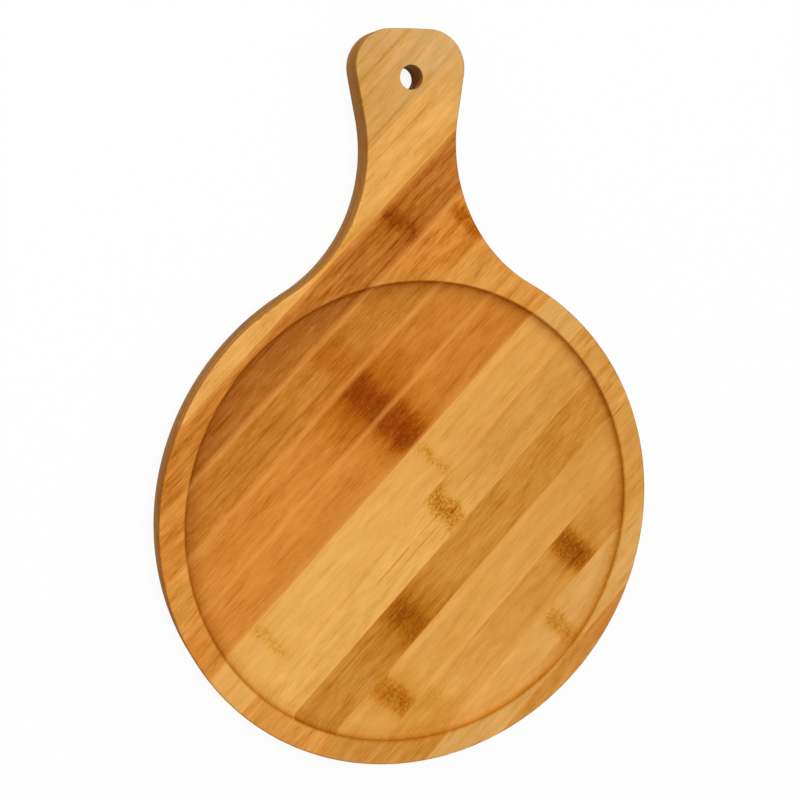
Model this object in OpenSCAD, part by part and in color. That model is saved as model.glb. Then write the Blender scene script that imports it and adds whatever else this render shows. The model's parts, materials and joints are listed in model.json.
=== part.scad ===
/* [Plate] */
// Diameter of the round plate
plate_d = 250; // [200:5:320]
// Width of the flat rim round the recess
rim_w = 12; // [6:0.5:30]
// Depth of the recess below the top face
recess_depth = 4; // [2:0.5:6]
// Radius of the hollow where the recess wall runs into its floor
cove_r = 3.5; // [1:0.25:4]

/* [Handle] */
// Width of the handle at its narrowest
grip_w = 44; // [34:1:60]
// Radius of the curve from the plate into the handle
neck_r = 76; // [40:1:120]
// Angle at which the handle widens towards its head
flare = 10; // [5:1:20]
// Length of the handle's side between the neck curve and the head
grip_side = 19.5; // [5:0.5:60]
// Radius of the faint swell of the handle's side
side_r = 2000; // [600:100:4000]
// Radius of the two corners of the head
corner_r = 17; // [12:1:22]
// Radius of the arched end of the head
crown_r = 250; // [80:5:400]
// Diameter of the hanging hole
hole_d = 11; // [6:0.5:16]
// Distance from the middle of the hole to the end of the handle
hole_inset = 21.8; // [14:0.2:30]

/* [Panel] */
// Thickness of face ply left under the recess
floor_skin = 1.5; // [1:0.5:4]
// Thickness of the crosswise core ply
core_t = 4; // [2:0.5:8]
// Thickness of the back ply
back_t = 5.5; // [2.5:0.5:8]
// Width of one bamboo strip
strip_w = 23; // [15:1:40]
// Angle of the face grain from the board's width towards its length
grain_angle = 44; // [30:1:60]
// Distance from the middle of the plate to the nearest face joint on the handle's side
face_joint = 1.5; // [-10:0.5:10]
// Shift of the back joints from the face joints
back_stagger = -3; // [-10:0.5:10]
// Distance from the edge of the plate to the core joint just outside it
core_joint = 2; // [1:0.5:6]

/* [Edges] */
// Rounding of the outer edges of the board
arris_r = 1.2; // [0.4:0.1:2]
// Bevel of the lip of the recess
lip_bevel = 0.5; // [0.2:0.1:1.5]
// Rounding of the ends of the hanging hole
hole_round = 0.5; // [0.2:0.1:1.5]

/* [Hidden] */
$fn = 48;
// Steps in a full turn of the outline and of the recess
turn_fn = 240;
// Overrun of cutting shapes past the surface that they cut
slack = 1;
// An end strip or a bridge of wood thinner than this is not left by itself
sliver = 1;
// Overlap of neighbouring stretches of the edge, far below any real size
lap = 0.000008;

// Thicknesses and heights that follow from the plies
face_t = recess_depth + floor_skin;
face_z = back_t + core_t;
board_t = face_z + face_t;

// Outline: plate, neck curve, handle's side, head corner and arched end, each running on from the last.
// Where two of them meet, their middles and the meeting point lie on one line, and the directions of
// these lines are whole thousandths of a degree
function tick(a) = round(a * 1000) / 1000;
function toward(a) = [cos(a), sin(a)];

plate_r = plate_d / 2;
recess_r = plate_r - rim_w;
hole_r = hole_d / 2;
neck_a = tick(acos((grip_w / 2 + neck_r) / (plate_r + neck_r)));
neck = (plate_r + neck_r) * toward(neck_a);
side = neck - (neck_r + side_r) * toward(-flare);
side_a = tick(grip_side / side_r * 180 / PI) - flare;
corner = side + (side_r - corner_r) * toward(side_a);
crown_a = tick(acos(corner.x / (crown_r - corner_r)));
crown_step = corner.x / cos(crown_a);
crown_y = corner.y - crown_step * sin(crown_a);
reach = crown_y + crown_step + corner_r;
hole_y = reach - hole_inset;

// The edge of a ply is a band along the outline, and a plain panel fills what it encloses
edge_band = corner_r / 2;
fill_inset = edge_band / 2;
fill_from = -80;
fill_steps = 12;

// Longest distance that any strip could need
span = plate_r + reach;

// Plies: name of their strips, direction of the grain, side whose neck curve can cut a strip in two,
// height of the underside, thickness, and rounding of the lower and the upper edge
FACE = ["face_strip_", grain_angle, -1, face_z, face_t, 0, arris_r];
CORE = ["core_strip_", grain_angle - 90, 1, back_t, core_t, 0, 0];
BACK = ["back_strip_", grain_angle, -1, 0, back_t, arris_r, 0];

function strip_prefix(ply) = ply[0];
function grain(ply) = ply[1];
function cut_side(ply) = ply[2];
function underside(ply) = ply[3];
function thickness(ply) = ply[4];
function low_round(ply) = ply[5];
function high_round(ply) = ply[6];

// A ply's blank ends at a rounded side and runs past a plain one, where the strip's room cuts it
function blank_low(ply) = low_round(ply) > 0 ? 0 : -slack;
function blank_high(ply) = thickness(ply) + (high_round(ply) > 0 ? 0 : slack);
function room_low(ply) = low_round(ply) > 0 ? -slack : 0;
function room_high(ply) = thickness(ply) + (high_round(ply) > 0 ? slack : 0);

// Distance of a point along and across a grain direction
function along(p, a) = p.x * cos(a) + p.y * sin(a);
function across(p, a) = p.y * cos(a) - p.x * sin(a);

// Neck curve that can divide a strip, how near it comes to the plate's middle, and the ply's farthest edge
function cutting_neck(ply) = [cut_side(ply) * neck.x, neck.y];
function notch(ply) = across(cutting_neck(ply), grain(ply)) - neck_r;
function farthest(ply) = across([cut_side(ply) * corner.x, corner.y], grain(ply)) + corner_r;

function two_digits(i) = str(i < 10 ? "0" : "", i);

// Strips of a ply from the handle's end on: name, lower and upper edge across the grain, and part,
// which is 0 for a whole strip, 1 for the handle's end and -1 for the plate's end of a divided one
function strips(ply, joint) =
    let (first = ceil((farthest(ply) - sliver - joint) / strip_w))
    let (last = floor((sliver - plate_r - joint) / strip_w))
    let (count = first - last)
    [for (i = [1 : count])
        let (name = str(strip_prefix(ply), two_digits(i)))
        let (low = joint + strip_w * (first - i))
        let (lo = i == count ? -span : low)
        let (hi = i == 1 ? span : low + strip_w)
        let (divided = low > notch(ply) - sliver && low < plate_r - sliver)
        each divided ? [[name, lo, hi, 1], [str(name, "_rim"), lo, hi, -1]] : [[name, lo, hi, 0]]];

face_strips = strips(FACE, face_joint);
core_strips = strips(CORE, plate_r + core_joint);
back_strips = strips(BACK, face_joint + back_stagger);

// Tones of the bamboo
straw = "#E3B266";
honey = "#DDA65A";
wheat = "#CF9A52";
amber = "#CC8A3C";
olive = "#B88442";
caramel = "#B9722F";
face_tones = [
    honey, honey, honey, caramel, amber, amber, amber,
    straw, honey, olive, honey, wheat, straw, amber
];

// Waste that rounding takes off a square corner at the origin, with the wood at -x and +y
module corner_waste(r) {
    difference() {
        translate([-r, -slack]) square(r + slack);
        translate([-r, r]) circle(r);
    }
}

// Cross-section of a ply's edge with its outer face on x = 0
module edge_section(ply) {
    difference() {
        translate([-edge_band, blank_low(ply)]) square([edge_band, blank_high(ply) - blank_low(ply)]);
        if (low_round(ply) > 0) corner_waste(low_round(ply));
        if (high_round(ply) > 0)
            translate([0, thickness(ply)]) mirror([0, 1]) corner_waste(high_round(ply));
    }
}

// Moves its children in a coarse and a fine step, so that curves that meet line up closely
module place(v) {
    coarse = [for (x = v) round(x * 100) / 100];
    translate(coarse) translate(v - coarse) children();
}

// Stretch of the edge that turns about a middle, bulging (side 1) or hollow (side -1)
module edge_turn(ply, middle, r, side, from, to, over = lap) {
    over_a = over / r * 180 / PI;
    place([middle.x, middle.y, 0])
        rotate_extrude(angle = to - from + 2 * over_a, start = from - over_a, $fn = turn_fn)
            place([r, 0, 0])
                mirror([side < 0 ? 1 : 0, 0])
                    edge_section(ply);
}

// Edge of a ply all round the outline
module edge(ply) {
    edge_turn(ply, [0, 0], plate_r, 1, 180 - neck_a, 360 + neck_a);
    edge_turn(ply, [0, crown_y], crown_step + corner_r, 1, crown_a, 180 - crown_a);
    for (flip = [0, 1])
        mirror([flip, 0, 0]) {
            edge_turn(ply, neck, neck_r, -1, 180 - flare, 180 + neck_a);
            edge_turn(ply, side, side_r, 1, -flare, side_a);
            edge_turn(ply, corner, corner_r, 1, side_a, crown_a, over = 0);
        }
}

function turn_points(middle, r, from, to) =
    [for (i = [0 : fill_steps]) middle + r * toward(from + (to - from) * i / fill_steps)];

// Panel that fills the edge band
module filling(ply) {
    right = concat(
        turn_points([0, 0], plate_r - fill_inset, fill_from, neck_a),
        turn_points(neck, neck_r + fill_inset, neck_a + 180, 180 - flare),
        turn_points(corner, corner_r - fill_inset, side_a, crown_a)
    );
    left = [for (i = [len(right) - 1 : -1 : 0]) [-right[i].x, right[i].y]];
    translate([0, 0, blank_low(ply)])
        linear_extrude(blank_high(ply) - blank_low(ply))
            polygon(concat(right, left));
}

// One ply of the board before it is divided into strips
module ply_blank(ply) {
    difference() {
        translate([0, 0, underside(ply)]) {
            edge(ply);
            filling(ply);
        }
        hanging_hole();
    }
}

// Hanging hole with softened ends
module hanging_hole() {
    translate([0, hole_y, 0])
        rotate_extrude() {
            translate([0, -slack]) square([hole_r, board_t + 2 * slack]);
            translate([hole_r, 0]) mirror([1, 0]) corner_waste(hole_round);
            translate([hole_r, board_t]) rotate(180) corner_waste(hole_round);
        }
}

// Round recess with a hollowed wall and a bevelled lip
module recess() {
    cove = min(cove_r, recess_depth - lip_bevel);
    bevel = [
        [-slack, -lip_bevel],
        [0, -lip_bevel],
        [lip_bevel + slack, slack],
        [-slack, slack]
    ];
    translate([0, 0, board_t - recess_depth])
        rotate_extrude($fn = turn_fn) {
            difference() {
                square([recess_r, recess_depth + slack]);
                translate([recess_r, 0]) corner_waste(cove);
            }
            translate([recess_r, recess_depth]) polygon(bevel);
        }
}

// Room that one strip takes up in its ply
module strip_room(ply, strip) {
    split = along(cutting_neck(ply), grain(ply));
    kept_way = -cut_side(ply) * strip[3];
    from = kept_way > 0 ? split : -span;
    to = kept_way < 0 ? split : span;
    rotate(grain(ply))
        translate([from, strip[1], underside(ply) + room_low(ply)])
            cube([to - from, strip[2] - strip[1], room_high(ply) - room_low(ply)]);
}

module face_strip(strip, tone) {
    color(tone)
        difference() {
            intersection() {
                ply_blank(FACE);
                strip_room(FACE, strip);
            }
            recess();
        }
}

module core_strip(strip) {
    color(wheat)
        intersection() {
            ply_blank(CORE);
            strip_room(CORE, strip);
        }
}

module back_strip(strip) {
    color(amber)
        intersection() {
            ply_blank(BACK);
            strip_room(BACK, strip);
        }
}

for (i = [0 : len(face_strips) - 1])
    face_strip(face_strips[i], face_tones[i % len(face_tones)]);
for (strip = core_strips) core_strip(strip);
for (strip = back_strips) back_strip(strip);
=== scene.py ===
"""Looks of a laminated bamboo serving board: the finish of each strip, the studio and the camera."""

from __future__ import annotations

import json
import logging
import math
from dataclasses import dataclass
from enum import Enum
from typing import Any, Mapping

import bpy
from mathutils import Matrix, Vector


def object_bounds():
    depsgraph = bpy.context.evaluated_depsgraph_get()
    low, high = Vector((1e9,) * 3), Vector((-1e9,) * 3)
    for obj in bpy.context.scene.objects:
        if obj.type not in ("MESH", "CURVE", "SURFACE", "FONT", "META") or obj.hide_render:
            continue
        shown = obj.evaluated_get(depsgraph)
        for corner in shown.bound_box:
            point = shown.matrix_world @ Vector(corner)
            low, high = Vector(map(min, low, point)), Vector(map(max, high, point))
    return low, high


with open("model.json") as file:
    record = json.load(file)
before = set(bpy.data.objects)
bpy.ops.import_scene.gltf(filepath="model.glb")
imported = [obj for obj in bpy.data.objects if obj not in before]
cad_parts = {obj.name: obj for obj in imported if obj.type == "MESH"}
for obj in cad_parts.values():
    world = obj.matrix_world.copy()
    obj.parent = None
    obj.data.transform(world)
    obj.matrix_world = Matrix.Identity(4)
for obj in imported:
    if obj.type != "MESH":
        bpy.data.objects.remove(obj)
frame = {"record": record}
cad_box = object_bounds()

log = logging.getLogger("serving_board")

# Millimetres in a metre
MM = 1000.0
# Strength of the satin surface's reflection, and the light that it adds to a colour
SPECULAR = 0.03
SHEEN = 0.003
# Least part of a colour that is left once that light is taken off
DARKEST = 0.0005
# Middle value of a noise
MEAN = 0.5
# Direction of the face grain from the board's width, in degrees
GRAIN_ANGLE = 44.0


class Tone(Enum):
    """Tones of bamboo as they look in the studio, as red, green and blue from 0 to 255.

    STAIN is what is left of white under a full stain, which in the recess's wall also paints shade; SHADE
    is what is left of white under the painted shade at the foot of the recess's wall.
    """

    STRAW = (231, 172, 88)
    CREAM = (218, 162, 87)
    HONEY = (222, 159, 77)
    BISCUIT = (215, 167, 102)
    FAWN = (203, 149, 80)
    GOLD = (218, 146, 65)
    WHEAT = (212, 150, 70)
    AMBER = (210, 133, 52)
    TAN = (207, 141, 62)
    RUSSET = (199, 130, 55)
    COPPER = (202, 125, 44)
    OLIVE = (200, 134, 52)
    CARAMEL = (196, 120, 42)
    COCOA = (188, 112, 41)
    CHESTNUT = (178, 102, 32)
    # Darkest stain of the marks, also used for the painted shade of the recess's wall
    STAIN = (173, 122, 29)
    OAT = (212, 156, 82)
    FLAX = (228, 166, 86)
    GLOW = (240, 166, 82)
    # Tones of the board's side, high and low: darker end grain with painted shade on it, greyer lower down
    SIDE_TOP_AND_SHADE = (150, 88, 22)
    SIDE_LOW_AND_SHADE = (140, 111, 82)
    # Painted shade at the foot of the recess's wall
    SHADE = (243, 239, 233)

    def linear(self, lift: float = 0.0) -> tuple[float, float, float, float]:
        """Turns the tone into the values that a shader takes.

        Args:
            lift: Steps of 0 to 255 that are added to each part first.

        Returns:
            Red, green, blue and alpha, less the light that the satin surface adds by itself.
        """
        parts = [min(max((part + lift) / 255.0, 0.0), 1.0) for part in self.value]
        light = [p / 12.92 if p <= 0.04045 else ((p + 0.055) / 1.055) ** 2.4 for p in parts]
        red, green, blue = (max(part - SHEEN, DARKEST) for part in light)
        return (red, green, blue, 1.0)


def grey(level: float) -> tuple[float, float, float, float]:
    """Plain grey of a given level, 1 for white."""
    return (level, level, level, 1.0)


class Wire:
    """An output socket in a node tree; arithmetic on it adds Math nodes."""

    def __init__(self, sheet: Sheet, socket: bpy.types.NodeSocket) -> None:
        """Keeps the socket and the sheet that it is on."""
        self.sheet = sheet
        self.socket = socket

    def maths(self, operation: str, *values: Wire | float, clamp: bool = False) -> Wire:
        """Adds one Math node.

        Args:
            operation: Name of the operation.
            *values: Numbers or wires for the node's sockets, in order.
            clamp: Whether the result is kept between 0 and 1.

        Returns:
            The result's wire.
        """
        settings = {"operation": operation, "use_clamp": clamp}
        return self.sheet.add("ShaderNodeMath", settings, dict(enumerate(values)))

    def __add__(self, other: Wire | float) -> Wire:
        """Sum."""
        return self.maths("ADD", self, other)

    def __radd__(self, other: float) -> Wire:
        """Sum, with the number first."""
        return self.maths("ADD", other, self)

    def __sub__(self, other: Wire | float) -> Wire:
        """Difference."""
        return self.maths("SUBTRACT", self, other)

    def __rsub__(self, other: float) -> Wire:
        """Difference, with the number first."""
        return self.maths("SUBTRACT", other, self)

    def __mul__(self, other: Wire | float) -> Wire:
        """Product."""
        return self.maths("MULTIPLY", self, other)

    def __rmul__(self, other: float) -> Wire:
        """Product, with the number first."""
        return self.maths("MULTIPLY", other, self)

    def __truediv__(self, other: Wire | float) -> Wire:
        """Quotient."""
        return self.maths("DIVIDE", self, other)

    def __rtruediv__(self, other: float) -> Wire:
        """Quotient, with the number first."""
        return self.maths("DIVIDE", other, self)

    def __abs__(self) -> Wire:
        """Size without its sign."""
        return self.maths("ABSOLUTE", self)

    def __rpow__(self, other: float) -> Wire:
        """Power of a number."""
        return self.maths("POWER", other, self)

    def clamp(self) -> Wire:
        """Keeps the value between 0 and 1."""
        return self.maths("ADD", self, 0.0, clamp=True)

    def most(self, other: Wire | float) -> Wire:
        """Larger of two values."""
        return self.maths("MAXIMUM", self, other)

    def least(self, other: Wire | float) -> Wire:
        """Smaller of two values."""
        return self.maths("MINIMUM", self, other)

    def rise(self, start: float, end: float) -> Wire:
        """Smooth step from 0 at the start to 1 at the end."""
        sockets = {"Value": self, "From Min": start, "From Max": end}
        return self.sheet.add("ShaderNodeMapRange", {"interpolation_type": "SMOOTHSTEP"}, sockets)

    def fall(self, start: float, end: float) -> Wire:
        """Smooth step from 1 at the start to 0 at the end."""
        return 1.0 - self.rise(start, end)


class Sheet:
    """A node tree that a finish is drawn on."""

    def __init__(self, tree: bpy.types.NodeTree) -> None:
        """Clears the tree."""
        self.tree = tree
        tree.nodes.clear()

    def add(
        self,
        kind: str,
        settings: Mapping[str, Any] | None = None,
        sockets: Mapping[str | int, Any] | None = None,
        output: str | int = 0,
    ) -> Wire:
        """Adds one node.

        Args:
            kind: Type of the node.
            settings: Properties of the node, which are set first.
            sockets: Values or wires for its inputs, by name or place.
            output: Output to return, by name or place.

        Returns:
            The output's wire.
        """
        node = self.tree.nodes.new(kind)
        for name, value in (settings or {}).items():
            setattr(node, name, value)
        for key, value in (sockets or {}).items():
            if isinstance(value, Wire):
                self.tree.links.new(value.socket, node.inputs[key])
            else:
                node.inputs[key].default_value = value
        return Wire(self, node.outputs[output] if len(node.outputs) else node.inputs[0])

    def vector(self, x: Wire | float, y: Wire | float, z: Wire | float) -> Wire:
        """Joins three values to a vector."""
        return self.add("ShaderNodeCombineXYZ", None, {0: x, 1: y, 2: z})

    def along(self, vector: Wire, way: tuple[float, float, float]) -> Wire:
        """Length of a vector along a fixed one."""
        return self.add("ShaderNodeVectorMath", {"operation": "DOT_PRODUCT"}, {0: vector, 1: way}, "Value")

    def noise(self, vector: Wire, detail: float, roughness: float) -> Wire:
        """Soft noise about its middle value."""
        sockets = {"Vector": vector, "Scale": 1.0, "Detail": detail, "Roughness": roughness}
        return self.add("ShaderNodeTexNoise", {"noise_dimensions": "3D"}, sockets)

    def mix(self, share: Wire | float, a: Any, b: Any, blend: str = "MIX") -> Wire:
        """Mixes two colours.

        Args:
            share: Share of the second colour.
            a: First colour, a value or a wire.
            b: Second colour, a value or a wire.
            blend: How the second colour goes over the first.

        Returns:
            The mixed colour's wire.
        """
        settings = {"data_type": "RGBA", "blend_type": blend, "clamp_factor": True, "clamp_result": True}
        return self.add("ShaderNodeMix", settings, {0: share, 6: a, 7: b}, 2)

    def stained(self, colour: Wire, stain: Wire) -> Wire:
        """Darkens a colour as the dark parts of bamboo do, blue most and red least; the same darkening
        also paints the shade in the recess's wall.

        Args:
            colour: Wire of the colour.
            stain: How strong the stain is, 1 for the darkest marks.

        Returns:
            The darker colour's wire.
        """
        red, green, blue, _ = Tone.STAIN.linear()
        left = self.add("ShaderNodeCombineColor", None, {0: red**stain, 1: green**stain, 2: blue**stain})
        return self.mix(1.0, colour, left, "MULTIPLY")


@dataclass(frozen=True)
class NodeMark:
    """Dark band where the bamboo had a node.

    Attributes:
        at: Place along the grain, in mm.
        width: Length of the dark core along the grain, in mm.
        depth: Strength of the core, 0 to 1.
        pits: Strength of the dark specks in it, 0 to 1.
        halo: Reach of the smoky streaks beside it, in mm.
        smoke: Strength of the streaks, 0 to 1.
        sway: How far the band bends, as a share of its width.
        fray: How far its edge frays, as a share of its width.
        drift: How far the smoke frays, as a share of the halo.
        soft: Where the core starts to fade and where it ends, as shares of half its width.
        margin: Distances from the joint where the core is weakest and where it is full, in mm.
    """

    at: float
    width: float
    depth: float
    pits: float = 0.3
    halo: float = 6.0
    smoke: float = 0.1
    sway: float = 0.7
    fray: float = 0.7
    drift: float = 1.2
    soft: tuple[float, float] = (0.25, 1.50)
    margin: tuple[float, float] = (-1.0, 6.0)


@dataclass(frozen=True)
class Streak:
    """Thin dark line along the grain.

    Attributes:
        across: Place across the grain, in mm.
        start: Where it starts along the grain, in mm.
        end: Where it ends along the grain, in mm.
        width: Half width, in mm.
        depth: Strength, 0 to 1.
        sway: How far it wanders sideways, in mm.
        soft: Where it starts to fade sideways and where it ends, as shares of the half width.
        fade: Share of its length over which each end fades.
    """

    across: float
    start: float
    end: float
    width: float = 0.5
    depth: float = 0.4
    sway: float = 1.5
    soft: tuple[float, float] = (0.3, 1.4)
    fade: float = 0.25


@dataclass(frozen=True)
class StripLook:
    """Look of one strip.

    Attributes:
        floor: Tones where the recess has cut into the strip, at its lower and its upper end.
        face: Tones of the top face, at the lower and the upper end.
        turn: Where along the grain the first tone passes into the second, in mm.
        marks: Node marks.
        streaks: Thin dark lines.
        figure: Strength of the fibres.
        joint: Strength of the pale line at the joints.
        seam: Reach of the pale line, in mm.
    """

    floor: tuple[Tone, Tone]
    face: tuple[Tone, Tone]
    turn: tuple[float, float] = (-50.0, 60.0)
    marks: tuple[NodeMark, ...] = ()
    streaks: tuple[Streak, ...] = ()
    figure: float = 1.0
    joint: float = 0.25
    seam: float = 1.8


@dataclass(frozen=True)
class Fleck:
    """Size and kind of the flecks in one layer of the figure.

    Attributes:
        along: Length along the fibres, in mm.
        across: Length across them, in mm.
        through: Length through the board, in mm.
        detail: Number of finer layers in the noise.
        roughness: Strength of each finer layer against the one before.
        limits: Values of the noise at which a spot starts and at which it is full.
    """

    along: float
    across: float
    through: float
    detail: float = 1.0
    roughness: float = 0.55
    limits: tuple[float, float] = (0.0, 1.0)


class Figure(Enum):
    """Layers of the bamboo's figure, from a strip's broad bands to the specks of a node mark."""

    BANDS = Fleck(120.0, 6.5, 9.0)
    CLOUDS = Fleck(16.0, 4.0, 6.0, 3.0, limits=(0.38, 0.60))
    FIBRES = Fleck(16.0, 0.9, 1.2, 3.0, 0.6, limits=(0.30, 0.60))
    FINE = Fleck(4.5, 0.55, 0.7, 2.0, limits=(0.50, 0.68))
    LINES = Fleck(24.0, 0.65, 0.9, limits=(0.58, 0.72))
    DASHES = Fleck(3.6, 0.45, 0.7, limits=(0.62, 0.76))
    GLINTS = Fleck(6.0, 0.5, 0.8, limits=(0.60, 0.76))
    MARK_SWAY = Fleck(60.0, 7.0, 9.0)
    MARK_EDGE = Fleck(8.0, 0.7, 1.2, 2.0)
    MARK_PATCHES = Fleck(4.5, 2.4, 3.0, 2.0, limits=(0.30, 0.62))
    MARK_PALE = Fleck(2.6, 0.55, 1.0, limits=(0.52, 0.64))
    MARK_SPECKS = Fleck(1.5, 1.0, 1.2, 2.0, 0.7, limits=(0.40, 0.56))
    STREAK_SWAY = Fleck(60.0, 40.0, 40.0)


@dataclass(frozen=True)
class Strength:
    """How strongly the parts of the finish show.

    Attributes:
        fibres: Fibres, against 1 for the clouds.
        fine: Finest fibres, against 1 for the clouds.
        bands: Broad bands, against 1 for the clouds.
        face: Contrast of the top face, against 1 in the recess.
        glints: Pale glints.
        lines: Fine dark lines and dashes.
        hollow_grain_and_shade: Stain of the recess's wall: partly its darker end grain, partly painted
            shade and the deeper colour of light bounced about in the recess.
        pale: Pale flecks in a node mark.
        side: Tone of the board's side, against the strip's own: its darker end grain with painted shade on
            it.
        pores: Stain of the pores in the end grain.
    """

    fibres: float = 0.9
    fine: float = 0.7
    bands: float = 0.7
    face: float = 1.35
    glints: float = 0.25
    lines: float = 0.18
    # Painted shade of the recess's wall, with its darker end grain
    hollow_grain_and_shade: float = 0.40
    pale: float = 0.65
    side: float = 0.65
    pores: float = 0.35


@dataclass(frozen=True)
class Satin:
    """Feel of the oiled surface.

    Attributes:
        roughness: Roughness of plain bamboo.
        fibre_change: Change of roughness from fibre to fibre.
        end_change: Roughness that end grain adds.
        dash_change: Roughness that open pores add.
        relief: Strength of the relief.
        relief_depth: Depth of the relief, in metres.
        fibre_height: Share of the fibres in the relief.
        fine_height: Share of the finest fibres in it.
        dash_depth: Share of the open pores in it.
    """

    roughness: float = 0.50
    fibre_change: float = 0.25
    end_change: float = 0.15
    dash_change: float = 0.10
    relief: float = 0.22
    relief_depth: float = 0.00012
    fibre_height: float = 0.6
    fine_height: float = 0.4
    dash_depth: float = 0.3


@dataclass(frozen=True)
class Board:
    """Sizes of the board that the finishes follow, in mm.

    Attributes:
        top: Height of the top face.
        floor: Height of the recess's floor.
        hole: Middle of the hanging hole, at the height of the underside.
        hole_r: Radius of the hanging hole.
        recess: Radius of the recess at its lip.
    """

    top: float
    floor: float
    hole: tuple[float, float, float]
    hole_r: float
    recess: float = 113.6

    @classmethod
    def packed(cls) -> Board:
        """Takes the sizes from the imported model.

        Returns:
            The board's sizes.
        """
        mounts = {mount["name"]: mount for mount in frame["record"]["mounts"]}
        bore = mounts["hanging_hole"]
        across, along, _ = bore["pos_m"]
        return cls(
            top=cad_box[1][2] * MM,
            floor=mounts["recess_floor"]["pos_m"][2] * MM,
            hole=(across * MM, along * MM, 0.0),
            hole_r=bore["dims"]["r_mm"],
        )


@dataclass(frozen=True)
class Grain:
    """Wires that place a point within a strip.

    Attributes:
        u: Distance along the grain, in mm.
        v: Distance across the grain, in mm.
        z: Height, in mm.
        radius: Distance from the plate's middle, in mm.
        bore: Distance from the middle of the hanging hole, in mm.
        end: How squarely the surface cuts across the fibres, 0 to 1.
        steep: How upright the surface is, 0 to 1.
    """

    u: Wire
    v: Wire
    z: Wire
    radius: Wire
    bore: Wire
    end: Wire
    steep: Wire


@dataclass(frozen=True)
class BambooFinish:
    """Oiled bamboo of one strip.

    Attributes:
        name: Name of the material.
        look: The strip's own look.
        angle: Direction of the grain from the board's width, in degrees.
        band: Lower and upper edge of the strip across the grain, in mm.
        seed: Offset that gives the strip its own fibres.
        board: Sizes of the board.
        strength: How strongly the parts of the finish show.
        satin: Feel of the surface.
        seed_shares: Shares of the seed along the grain, across it and through the board.
        shades: Steps from a tone, of 255, to that of the darkest and the lightest fibres.
        foot: Distances in from the recess's lip where the painted shade at its foot starts and is full, in
            mm.
        upright: Steepness at which the side's tone starts and at which it is full.
        hole_edge: Distances past the hole's edge over which the tone of its wall ends, in mm; that tone
            paints shade into the hole.
        side_low: Depths below the top face over which the side's lower tone ends, in mm.
    """

    name: str
    look: StripLook
    angle: float
    band: tuple[float, float]
    seed: float
    board: Board
    strength: Strength = Strength()
    satin: Satin = Satin()
    seed_shares: tuple[float, float, float] = (1.0, 1.7, 0.6)
    shades: tuple[float, float] = (-17.0, 16.0)
    foot: tuple[float, float] = (8.6, 2.6)
    upright: tuple[float, float] = (0.08, 0.50)
    hole_edge: tuple[float, float] = (0.7, 1.7)
    side_low: tuple[float, float] = (14.0, 5.0)

    def material(self) -> bpy.types.Material:
        """Draws the finish.

        Returns:
            The new material.
        """
        material = bpy.data.materials.new(self.name)
        material.use_nodes = True
        sheet = Sheet(material.node_tree)
        grain = self.grain(sheet)
        strength = self.strength
        bands = self.flecks(sheet, grain, Figure.BANDS)
        clouds = self.flecks(sheet, grain, Figure.CLOUDS)
        fibres = self.flecks(sheet, grain, Figure.FIBRES)
        fine = self.flecks(sheet, grain, Figure.FINE)
        lines = self.spots(sheet, grain, Figure.LINES)
        dashes = self.spots(sheet, grain, Figure.DASHES)
        glints = self.spots(sheet, grain, Figure.GLINTS)
        figure = (clouds - MEAN) + (fibres - MEAN) * strength.fibres + (fine - MEAN) * strength.fine
        contrast = (strength.face - self.cut(grain) * (strength.face - 1.0)) * self.look.figure
        colour = self.ground(sheet, grain, figure * contrast + (bands - MEAN) * strength.bands)
        colour = sheet.mix(glints * contrast * strength.glints, colour, Tone.GLOW.linear())
        darker = clouds.fall(*Figure.CLOUDS.value.limits)
        # The sum also carries the painted shade of the recess's wall.
        stain = lines.most(dashes) * darker * contrast * strength.lines + self.hollow_grain_and_shade(grain)
        for mark in self.look.marks:
            stain = stain + self.mark(sheet, grain, mark)
        for streak in self.look.streaks:
            stain = stain + self.streak(sheet, grain, streak, fibres)
        colour = sheet.stained(colour, stain)
        colour = self.with_joints(sheet, grain, colour, fibres)
        # Painted shade at the foot of the recess's wall.
        colour = self.with_painted_foot_shade(sheet, grain, colour)
        colour = self.with_sides_and_painted_shade(sheet, grain, colour, fine)
        satin = self.satin
        height = fibres * satin.fibre_height + fine * satin.fine_height - dashes * satin.dash_depth
        relief = {"Strength": satin.relief, "Distance": satin.relief_depth, "Height": height}
        roughness = satin.roughness + (fibres - MEAN) * satin.fibre_change
        roughness = roughness + grain.end * satin.end_change + dashes * satin.dash_change
        oiled = {
            "Base Color": colour,
            "Roughness": roughness,
            "Specular IOR Level": SPECULAR,
            "Normal": sheet.add("ShaderNodeBump", None, relief),
        }
        shader = sheet.add("ShaderNodeBsdfPrincipled", None, oiled)
        sheet.add("ShaderNodeOutputMaterial", None, {"Surface": shader})
        return material

    def grain(self, sheet: Sheet) -> Grain:
        """Wires for a point's place in the strip.

        Args:
            sheet: Sheet that the finish is drawn on.

        Returns:
            The wires.
        """
        turn = math.radians(self.angle)
        way = (math.cos(turn), math.sin(turn))
        place = sheet.add("ShaderNodeTexCoord", None, None, "Object")
        facing = sheet.add("ShaderNodeNewGeometry", None, None, "Normal")
        flat = sheet.add("ShaderNodeVectorMath", {"operation": "MULTIPLY"}, {0: place, 1: (MM, MM, 0.0)})
        to_hole = {0: flat, 1: self.board.hole}
        return Grain(
            u=sheet.along(place, (way[0] * MM, way[1] * MM, 0.0)),
            v=sheet.along(place, (-way[1] * MM, way[0] * MM, 0.0)),
            z=sheet.along(place, (0.0, 0.0, MM)),
            radius=sheet.add("ShaderNodeVectorMath", {"operation": "LENGTH"}, {0: flat}, "Value"),
            bore=sheet.add("ShaderNodeVectorMath", {"operation": "DISTANCE"}, to_hole, "Value"),
            end=abs(sheet.along(facing, (way[0], way[1], 0.0))),
            steep=1.0 - abs(sheet.along(facing, (0.0, 0.0, 1.0))),
        )

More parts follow.
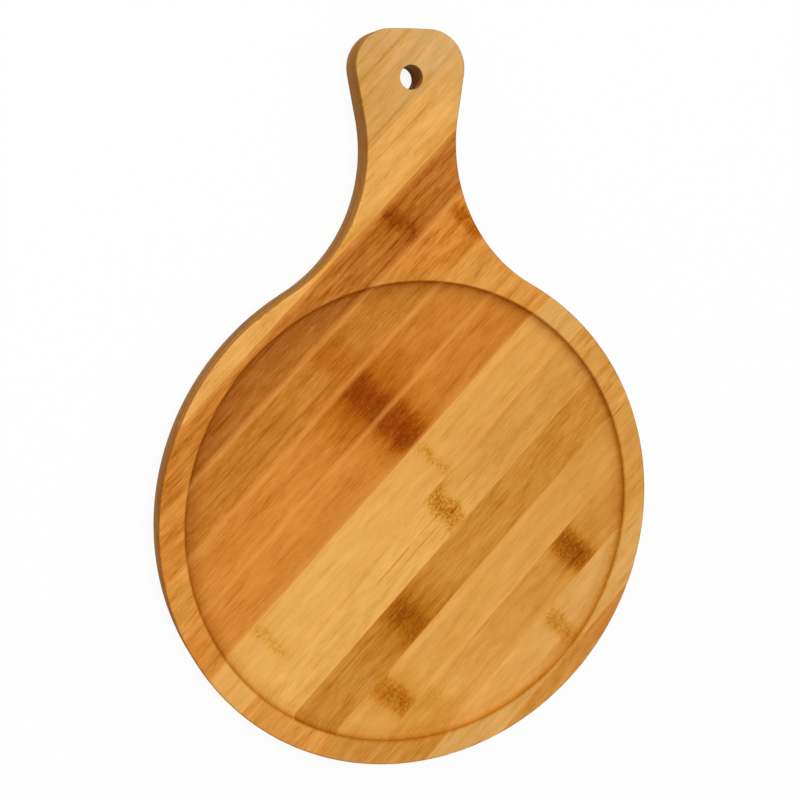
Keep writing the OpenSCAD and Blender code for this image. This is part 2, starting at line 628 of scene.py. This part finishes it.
    def flecks(self, sheet: Sheet, grain: Grain, layer: Figure) -> Wire:
        """Noise of one layer of the figure.

        Args:
            sheet: Sheet that the finish is drawn on.
            grain: Wires of the place.
            layer: The layer.

        Returns:
            The noise's wire.
        """
        size = layer.value
        shift = [self.seed * share for share in self.seed_shares]
        place = sheet.vector(
            grain.u / size.along + shift[0],
            grain.v / size.across + shift[1],
            grain.z / size.through + shift[2],
        )
        return sheet.noise(place, size.detail, size.roughness)

    def spots(self, sheet: Sheet, grain: Grain, layer: Figure) -> Wire:
        """Spots where a layer of the figure is strong, 0 to 1."""
        return self.flecks(sheet, grain, layer).rise(*layer.value.limits)

    def ground(self, sheet: Sheet, grain: Grain, figure: Wire) -> Wire:
        """Tone of the bare strip with its fibres.

        Args:
            sheet: Sheet that the finish is drawn on.
            grain: Wires of the place.
            figure: Lightness of the fibres about 0.

        Returns:
            The colour's wire.
        """
        look = self.look
        passed = grain.u.rise(*look.turn)
        cut = self.cut(grain)
        shades: list[Wire] = []
        for lift in self.shades:
            face = sheet.mix(passed, look.face[0].linear(lift), look.face[1].linear(lift))
            floor = sheet.mix(passed, look.floor[0].linear(lift), look.floor[1].linear(lift))
            shades.append(sheet.mix(cut, face, floor))
        return sheet.mix((figure + 0.5).clamp(), shades[0], shades[1])

    def within(self, grain: Grain, start: float, end: float) -> Wire:
        """How far a point lies within the recess.

        Args:
            grain: Wires of the place.
            start: Distance past the recess's edge where the result is still 1, in mm.
            end: Distance past it where the result has fallen to 0, in mm.

        Returns:
            The wire of a value from 0 to 1, which is 0 on the underside.
        """
        board = self.board
        above = grain.z.rise(board.floor - 1.0, board.floor - 0.5)
        return grain.radius.fall(board.recess + start, board.recess + end) * above

    def cut(self, grain: Grain) -> Wire:
        """Where the recess has cut into the strip, 0 to 1."""
        return self.within(grain, -1.0, 0.0)

    def inside(self, grain: Grain) -> Wire:
        """Distance from the nearer joint, in mm."""
        return (grain.v - self.band[0]).least(self.band[1] - grain.v)

    def hollow_grain_and_shade(self, grain: Grain) -> Wire:
        """Stain of the recess's wall: partly its darker end grain, partly painted shade and the deeper
        colour of light bounced about in the recess.
        """
        return grain.steep * self.within(grain, 0.0, 1.0) * self.strength.hollow_grain_and_shade

    def with_painted_foot_shade(self, sheet: Sheet, grain: Grain, colour: Wire) -> Wire:
        """Paints shade on the recess's floor at the foot of its wall.

        Args:
            sheet: Sheet that the finish is drawn on.
            grain: Wires of the place.
            colour: Wire of the colour so far.

        Returns:
            The new colour's wire.
        """
        start, full = (self.board.recess - inward for inward in self.foot)
        share = grain.radius.rise(start, full) * self.within(grain, 0.0, 0.5)
        return sheet.mix(share, colour, Tone.SHADE.linear(), "MULTIPLY")

    def mark(self, sheet: Sheet, grain: Grain, mark: NodeMark) -> Wire:
        """Stain of a node mark.

        Args:
            sheet: Sheet that the finish is drawn on.
            grain: Wires of the place.
            mark: The mark.

        Returns:
            The stain's wire.
        """
        sway = self.flecks(sheet, grain, Figure.MARK_SWAY) - MEAN
        ragged = self.flecks(sheet, grain, Figure.MARK_EDGE) - MEAN
        patches = self.spots(sheet, grain, Figure.MARK_PATCHES)
        pale = self.spots(sheet, grain, Figure.MARK_PALE)
        specks = 1.0 - self.spots(sheet, grain, Figure.MARK_SPECKS)
        away = grain.u - mark.at + sway * (mark.width * mark.sway)
        reach = abs(away + ragged * (mark.width * mark.fray)) / (mark.width / 2)
        middle = self.inside(grain).rise(*mark.margin) * 0.5 + 0.5
        core = reach.fall(*mark.soft) * (patches * 0.5 + 0.5) * middle
        dark = core * (1.0 - pale * self.strength.pale) * mark.depth
        dark = dark + core * specks * (1.0 - dark) * mark.pits
        drifting = abs(away + ragged * (mark.halo * mark.drift))
        smoke = drifting.fall(0.0, mark.width / 2 + mark.halo) * mark.smoke
        return dark + smoke * (1.0 - dark)

    def streak(self, sheet: Sheet, grain: Grain, streak: Streak, fibres: Wire) -> Wire:
        """Stain of a thin dark line.

        Args:
            sheet: Sheet that the finish is drawn on.
            grain: Wires of the place.
            streak: The line.
            fibres: Fibres that break the line up.

        Returns:
            The stain's wire.
        """
        sway = self.flecks(sheet, grain, Figure.STREAK_SWAY) - MEAN
        inner, outer = (streak.width * share for share in streak.soft)
        near = abs(grain.v - streak.across + sway * streak.sway).fall(inner, outer)
        fade = (streak.end - streak.start) * streak.fade
        run = grain.u.rise(streak.start, streak.start + fade) * grain.u.fall(streak.end - fade, streak.end)
        return near * run * fibres.rise(*Figure.FIBRES.value.limits) * streak.depth

    def with_joints(self, sheet: Sheet, grain: Grain, colour: Wire, fibres: Wire) -> Wire:
        """Lays the fine lines of the glued joints over a colour.

        Args:
            sheet: Sheet that the finish is drawn on.
            grain: Wires of the place.
            colour: Wire of the colour so far.
            fibres: Fibres that break the line up.

        Returns:
            The new colour's wire.
        """
        glow = self.inside(grain).fall(0.2, self.look.seam) * (fibres * 0.5 + 0.75) * self.look.joint
        return sheet.mix(glow, colour, Tone.GLOW.linear())

    def with_sides_and_painted_shade(self, sheet: Sheet, grain: Grain, colour: Wire, fine: Wire) -> Wire:
        """Tones the board's side, its rounded edges and the hole: darker end grain with painted shade on
        it, greyer low on the side.

        Args:
            sheet: Sheet that the finish is drawn on.
            grain: Wires of the place.
            colour: Wire of the colour so far.
            fine: Finest fibres.

        Returns:
            The new colour's wire.
        """
        board = self.board
        side = grain.steep.rise(*self.upright) * grain.radius.rise(board.recess, board.recess + 1.0)
        pores = fine.rise(*Figure.FINE.value.limits) * grain.end
        near, far = (board.hole_r + past for past in self.hole_edge)
        low, high = (board.top - depth for depth in self.side_low)
        upper = grain.z.rise(low, high).most(grain.bore.fall(near, far))
        # Side tone: end grain with painted shade on it.
        wall = sheet.mix(upper, Tone.SIDE_LOW_AND_SHADE.linear(), Tone.SIDE_TOP_AND_SHADE.linear())
        colour = sheet.mix(side * self.strength.side, colour, wall)
        return sheet.stained(colour, side * pores * self.strength.pores)


def strip_name(ply: str, number: int) -> str:
    """Name of a strip's node."""
    return f"{ply}_strip_{number:02d}"


@dataclass
class Ply:
    """One layer of strips.

    Attributes:
        name: Name of the layer, as its nodes have it.
        angle: Direction of the grain, in degrees.
        joint: Place of one joint across the grain, in mm.
        first: Number of strip widths from that joint to the far edge of strip 1.
        looks: Looks of the strips, in order.
        pitch: Width of a strip, in mm.
        seed_start: Number from which the strips' seeds count.
        seed_step: Step of the seed from strip to strip.
    """

    name: str
    angle: float
    joint: float
    first: int
    looks: tuple[StripLook, ...]
    pitch: float = 23.0
    seed_start: float = 45.2
    seed_step: float = 3.7

    def band(self, number: int) -> tuple[float, float]:
        """Edges of a strip across the grain.

        Args:
            number: Number of the strip.

        Returns:
            Lower and upper edge, in mm.
        """
        upper = self.joint + self.pitch * (self.first - number + 1)
        return (upper - self.pitch, upper)

    def dress(self, board: Board) -> list[str]:
        """Gives each strip its finish.

        Args:
            board: Sizes of the board.

        Returns:
            Names of the strips.
        """
        names: list[str] = []
        for number, look in enumerate(self.looks, 1):
            name = strip_name(self.name, number)
            seed = self.seed_start + self.seed_step * number + self.angle
            finish = BambooFinish(f"{name}_bamboo", look, self.angle, self.band(number), seed, board)
            material = finish.material()
            for slot in bpy.data.objects[name].material_slots:
                slot.material = material
            names.append(name)
        return names


def even(tone: Tone) -> tuple[Tone, Tone]:
    """The same tone at both ends."""
    return (tone, tone)


FACE_LOOKS = (
    StripLook(
        even(Tone.FAWN), (Tone.FAWN, Tone.BISCUIT), (120, 165),
        streaks=(Streak(164, 115, 175, 0.7, 0.20), Streak(170, 120, 165, 0.4, 0.14)),
        figure=0.7, joint=0.1,
    ),
    StripLook(
        even(Tone.OAT), (Tone.OAT, Tone.BISCUIT), (115, 165),
        streaks=(Streak(157, 100, 150, 0.5, 0.14), Streak(142, 95, 175, 0.6, 0.20)),
        figure=0.7, joint=0.1,
    ),
    StripLook(
        even(Tone.FLAX), (Tone.FLAX, Tone.BISCUIT), (130, 190),
        streaks=(
            Streak(134, 90, 150, 0.6, 0.16), Streak(126, 80, 140, 0.4, 0.14),
            Streak(118, 20, 175, 1.4, 0.15),
        ),
        figure=0.8, joint=0.0,
    ),
    # Strip 4: the recess's floor is darker than the face, partly its own tone deeper down and partly
    # painted shade near the recess's upper wall.
    StripLook(
        even(Tone.CHESTNUT), (Tone.CARAMEL, Tone.COCOA), (-20, 60),
        marks=(NodeMark(93, 8, 0.50, 0.5, 26, 0.16),),
        streaks=(
            Streak(112, 60, 140, 0.6, 0.35), Streak(107, 70, 135, 0.5, 0.30),
            Streak(101, 60, 130, 0.6, 0.35), Streak(110, -60, 40, 0.5, 0.30),
            Streak(104, -90, -20, 0.5, 0.28), Streak(97, 40, 95, 0.6, 0.30),
            Streak(109, 30, 90, 0.5, 0.30),
        ),
        figure=1.4, joint=0.4, seam=3.0,
    ),
    # Strip 5: the recess's floor is darker than the face, partly its own tone deeper down and partly
    # painted shade near the recess's upper wall.
    StripLook(
        even(Tone.CARAMEL), even(Tone.AMBER),
        marks=(NodeMark(27, 16, 0.12, 0.1, 14, 0.06), NodeMark(117, 7, 0.4, 0.4, 3, 0.1)),
        streaks=(Streak(84, -70, 10, 0.5, 0.25), Streak(77, -60, 40, 0.5, 0.22)),
        figure=1.4, joint=0.4, seam=2.2,
    ),
    StripLook(
        (Tone.AMBER, Tone.COPPER), even(Tone.GOLD),
        marks=(NodeMark(23, 17, 1.05, 0.7, 26, 0.46),),
        figure=1.2, joint=0.35, seam=2.2,
    ),
    StripLook(
        (Tone.AMBER, Tone.COPPER), (Tone.AMBER, Tone.GOLD),
        marks=(NodeMark(25, 17, 1.0, 0.7, 16, 0.36),),
        joint=0.35, seam=2.2,
    ),
    StripLook(
        (Tone.STRAW, Tone.HONEY), (Tone.FLAX, Tone.CREAM),
        marks=(NodeMark(-91, 6, 0.03, 0.22, 2, 0.02), NodeMark(25.5, 6, 0.03, 0.3, 2, 0.02)),
        figure=0.7,
    ),
    StripLook(
        (Tone.STRAW, Tone.WHEAT), (Tone.GOLD, Tone.WHEAT), (-20, 60),
        marks=(NodeMark(12, 11, 0.22, 0.65, 4, 0.06),),
        streaks=(Streak(-9, -40, 20, 0.5, 0.30), Streak(-13, -30, 10, 0.4, 0.25)),
    ),
    StripLook(
        even(Tone.OLIVE), (Tone.GOLD, Tone.WHEAT),
        marks=(NodeMark(-41, 17, 0.45, 0.5, 24, 0.26),),
        streaks=(Streak(-26, -100, -30, 0.5, 0.28), Streak(-39, -110, -50, 0.5, 0.25)),
        figure=1.35, joint=0.1,
    ),
    StripLook(
        (Tone.HONEY, Tone.WHEAT), (Tone.TAN, Tone.WHEAT), (-10, 80),
        marks=(NodeMark(-72, 12, 0.40, 0.6, 14, 0.16),),
        figure=0.65, joint=0.1,
    ),
    StripLook(
        (Tone.HONEY, Tone.TAN), (Tone.TAN, Tone.WHEAT), (-60, 50),
        marks=(
            NodeMark(42, 14, 0.80, 0.9, 11, 0.18), NodeMark(-60, 12, 0.04, 0.12, 6, 0.02),
            NodeMark(-76, 14, 0.0, 0.0, 16, 0.09),
        ),
        figure=0.9, joint=0.1,
    ),
    StripLook(
        (Tone.FLAX, Tone.CREAM), even(Tone.CREAM),
        marks=(NodeMark(10, 10, 0.15, 0.35, 3, 0.03),),
        figure=0.75,
    ),
    StripLook(even(Tone.TAN), (Tone.TAN, Tone.RUSSET)),
)


def plain_looks(
    tones: tuple[Tone, ...], count: int, step: float, reach: float = 85.0
) -> tuple[StripLook, ...]:
    """Looks of strips that the recess doesn't reach.

    Args:
        tones: Tones that take turns.
        count: Number of strips.
        step: How far the node marks move on from strip to strip, in mm.
        reach: Farthest place of a node mark along the grain, in mm.

    Returns:
        The looks, in order.
    """
    looks: list[StripLook] = []
    for number in range(count):
        tone = tones[number % len(tones)]
        after = tones[(number + 1) % len(tones)]
        place = (number * step) % (2 * reach) - reach
        mark = NodeMark(at=place, width=9.0 + number % 4, depth=0.35, pits=0.45)
        looks.append(StripLook(even(tone), (tone, after), marks=(mark,)))
    return tuple(looks)


@dataclass
class Studio:
    """Floor, backdrop and lamps.

    Attributes:
        floor_size: Side of the floor, in metres.
        floor_drop: Depth of the floor below the board, in metres.
        floor_seen: Grey of the floor as the camera sees it.
        floor_lit: Grey of the floor as it throws light back.
        shadow: Share of the floor that takes the board's shadow.
        ambient: Light from all round.
        middle: Point that the lamps face, in metres.
        distance: Distance of the lamps, in metres.
        key_power: Power of the large lamp overhead, in watts.
        key_way: Direction from the board to that lamp.
        key_size: Side of that lamp, in metres.
        fill_power: Power of the small lamp beyond the handle, in watts.
        fill_way: Direction from the board to that lamp.
        fill_size: Side of that lamp, in metres.
    """

    floor_size: float = 12.0
    floor_drop: float = 0.0002
    floor_seen: float = 0.98
    floor_lit: float = 0.35
    shadow: float = 0.10
    ambient: float = 0.40
    middle: tuple[float, float, float] = (0.0, 0.05, 0.0)
    distance: float = 4.0
    key_power: float = 106.0
    key_way: tuple[float, float, float] = (0.04, 0.18, 0.98)
    key_size: float = 4.0
    fill_power: float = 52.0
    fill_way: tuple[float, float, float] = (-0.54, 0.77, 0.34)
    fill_size: float = 2.0

    def seen(self, sheet: Sheet) -> Wire:
        """Mask of the rays that show the background.

        Args:
            sheet: Sheet of the floor or the world.

        Returns:
            1 for rays from the camera and in reflections, and 0 for the rest.
        """
        camera = sheet.add("ShaderNodeLightPath", None, None, "Is Camera Ray")
        glossy = sheet.add("ShaderNodeLightPath", None, None, "Is Glossy Ray")
        through = sheet.add("ShaderNodeLightPath", None, None, "Is Transmission Ray")
        return camera.most(glossy).most(through)

    def build_floor(self) -> bpy.types.Object:
        """Lays the pale floor.

        Returns:
            The floor's object.
        """
        half = self.floor_size / 2
        mesh = bpy.data.meshes.new("floor")
        turns = ((-1, -1), (1, -1), (1, 1), (-1, 1))
        corners = [(x * half, y * half, -self.floor_drop) for x, y in turns]
        mesh.from_pydata(corners, [], [(0, 1, 2, 3)])
        floor = bpy.data.objects.new("floor", mesh)
        bpy.context.scene.collection.objects.link(floor)
        mesh.materials.append(self.floor_material())
        return floor

    def floor_material(self) -> bpy.types.Material:
        """Pale floor that looks white and keeps a soft shadow.

        Returns:
            The material.
        """
        material = bpy.data.materials.new("floor_paint")
        material.use_nodes = True
        sheet = Sheet(material.node_tree)
        seen = self.seen(sheet)
        paint = sheet.mix(seen, grey(self.floor_lit), grey(self.floor_seen))
        flat_paint = {"Base Color": paint, "Roughness": 1.0, "Specular IOR Level": 0.0}
        matt = sheet.add("ShaderNodeBsdfPrincipled", None, flat_paint)
        glow = sheet.add("ShaderNodeEmission", None, {"Color": grey(1.0), "Strength": 1.0})
        share = seen * (1.0 - self.shadow)
        mixed = sheet.add("ShaderNodeMixShader", None, {0: share, 1: matt, 2: glow})
        sheet.add("ShaderNodeOutputMaterial", None, {"Surface": mixed})
        return material

    def build_light(self) -> None:
        """Sets the light from all round and hangs the two lamps."""
        world = bpy.data.worlds.new("studio")
        bpy.context.scene.world = world
        world.use_nodes = True
        sheet = Sheet(world.node_tree)
        around = sheet.add("ShaderNodeBackground", None, {"Color": grey(1.0), "Strength": self.ambient})
        backdrop = sheet.add("ShaderNodeBackground", None, {"Color": grey(1.0), "Strength": 1.0})
        mixed = sheet.add("ShaderNodeMixShader", None, {0: self.seen(sheet), 1: around, 2: backdrop})
        sheet.add("ShaderNodeOutputWorld", None, {"Surface": mixed})
        self.hang_lamp("key", self.key_power, self.key_size, self.key_way)
        self.hang_lamp("fill", self.fill_power, self.fill_size, self.fill_way)

    def hang_lamp(self, name: str, power: float, size: float, way: tuple[float, float, float]) -> None:
        """Hangs a square lamp that faces the board.

        Args:
            name: Name of the lamp.
            power: Power, in watts.
            size: Side, in metres.
            way: Direction from the board to the lamp.
        """
        light = bpy.data.lights.new(name, "AREA")
        light.energy = power
        light.size = size
        lamp = bpy.data.objects.new(name, light)
        bpy.context.scene.collection.objects.link(lamp)
        outward = Vector(way).normalized()
        lamp.location = Vector(self.middle) + outward * self.distance
        lamp.rotation_euler = outward.to_track_quat("Z", "Y").to_euler()


@dataclass
class Viewpoint:
    """The photographer's camera.

    Attributes:
        target: Point that the camera looks at, in metres.
        azimuth: Direction of the camera round the board, in degrees.
        elevation: Height of the camera above the floor, in degrees.
        roll: Turn about the line of sight, in degrees.
        distance: Distance from the target, in metres.
        lens: Focal length, in mm.
        sensor: Width of the sensor, in mm.
        nearest: Nearest distance that the camera sees, in metres.
    """

    target: tuple[float, float, float] = (-0.00297, 0.05489, 0.0)
    azimuth: float = -114.78
    elevation: float = 67.89
    roll: float = 112.11
    distance: float = 0.6321
    lens: float = 58.668
    sensor: float = 36.0
    nearest: float = 0.01

    def build(self) -> bpy.types.Object:
        """Sets up the camera.

        Returns:
            The camera's object.
        """
        around, above, roll = (math.radians(a) for a in (self.azimuth, self.elevation, self.roll))
        level_share = math.cos(above)
        back = Vector((math.sin(around) * level_share, -math.cos(around) * level_share, math.sin(above)))
        level = Vector((0.0, 0.0, 1.0)).cross(back).normalized()
        upright = back.cross(level)
        right = math.cos(roll) * level + math.sin(roll) * upright
        up = math.cos(roll) * upright - math.sin(roll) * level
        lens = bpy.data.cameras.new("camera")
        lens.lens = self.lens
        lens.sensor_width = self.sensor
        lens.clip_start = self.nearest
        camera = bpy.data.objects.new("camera", lens)
        bpy.context.scene.collection.objects.link(camera)
        turned = Matrix((right, up, back)).transposed().to_4x4()
        camera.matrix_world = Matrix.Translation(Vector(self.target) + back * self.distance) @ turned
        bpy.context.scene.camera = camera
        return camera


def main() -> None:
    """Dresses the board and sets up the studio and the camera."""
    logging.basicConfig(level=logging.INFO, format="%(message)s")
    bpy.context.scene.view_settings.view_transform = "Standard"
    board = Board.packed()
    inner = plain_looks((Tone.WHEAT, Tone.GOLD, Tone.HONEY), count=13, step=63.0)
    under = plain_looks((Tone.AMBER, Tone.HONEY, Tone.GOLD, Tone.WHEAT, Tone.STRAW), count=14, step=47.0)
    plies = (
        Ply("face", GRAIN_ANGLE, joint=1.5, first=8, looks=FACE_LOOKS),
        Ply("core", GRAIN_ANGLE - 90.0, joint=127.0, first=2, looks=inner),
        Ply("back", GRAIN_ANGLE, joint=-1.5, first=8, looks=under),
    )
    for ply in plies:
        for name in ply.dress(board):
            log.info("dressed %s", name)
    studio = Studio()
    log.info("laid %s", studio.build_floor().name)
    studio.build_light()
    log.info("set up %s", Viewpoint().build().name)


if __name__ == "__main__":
    main()
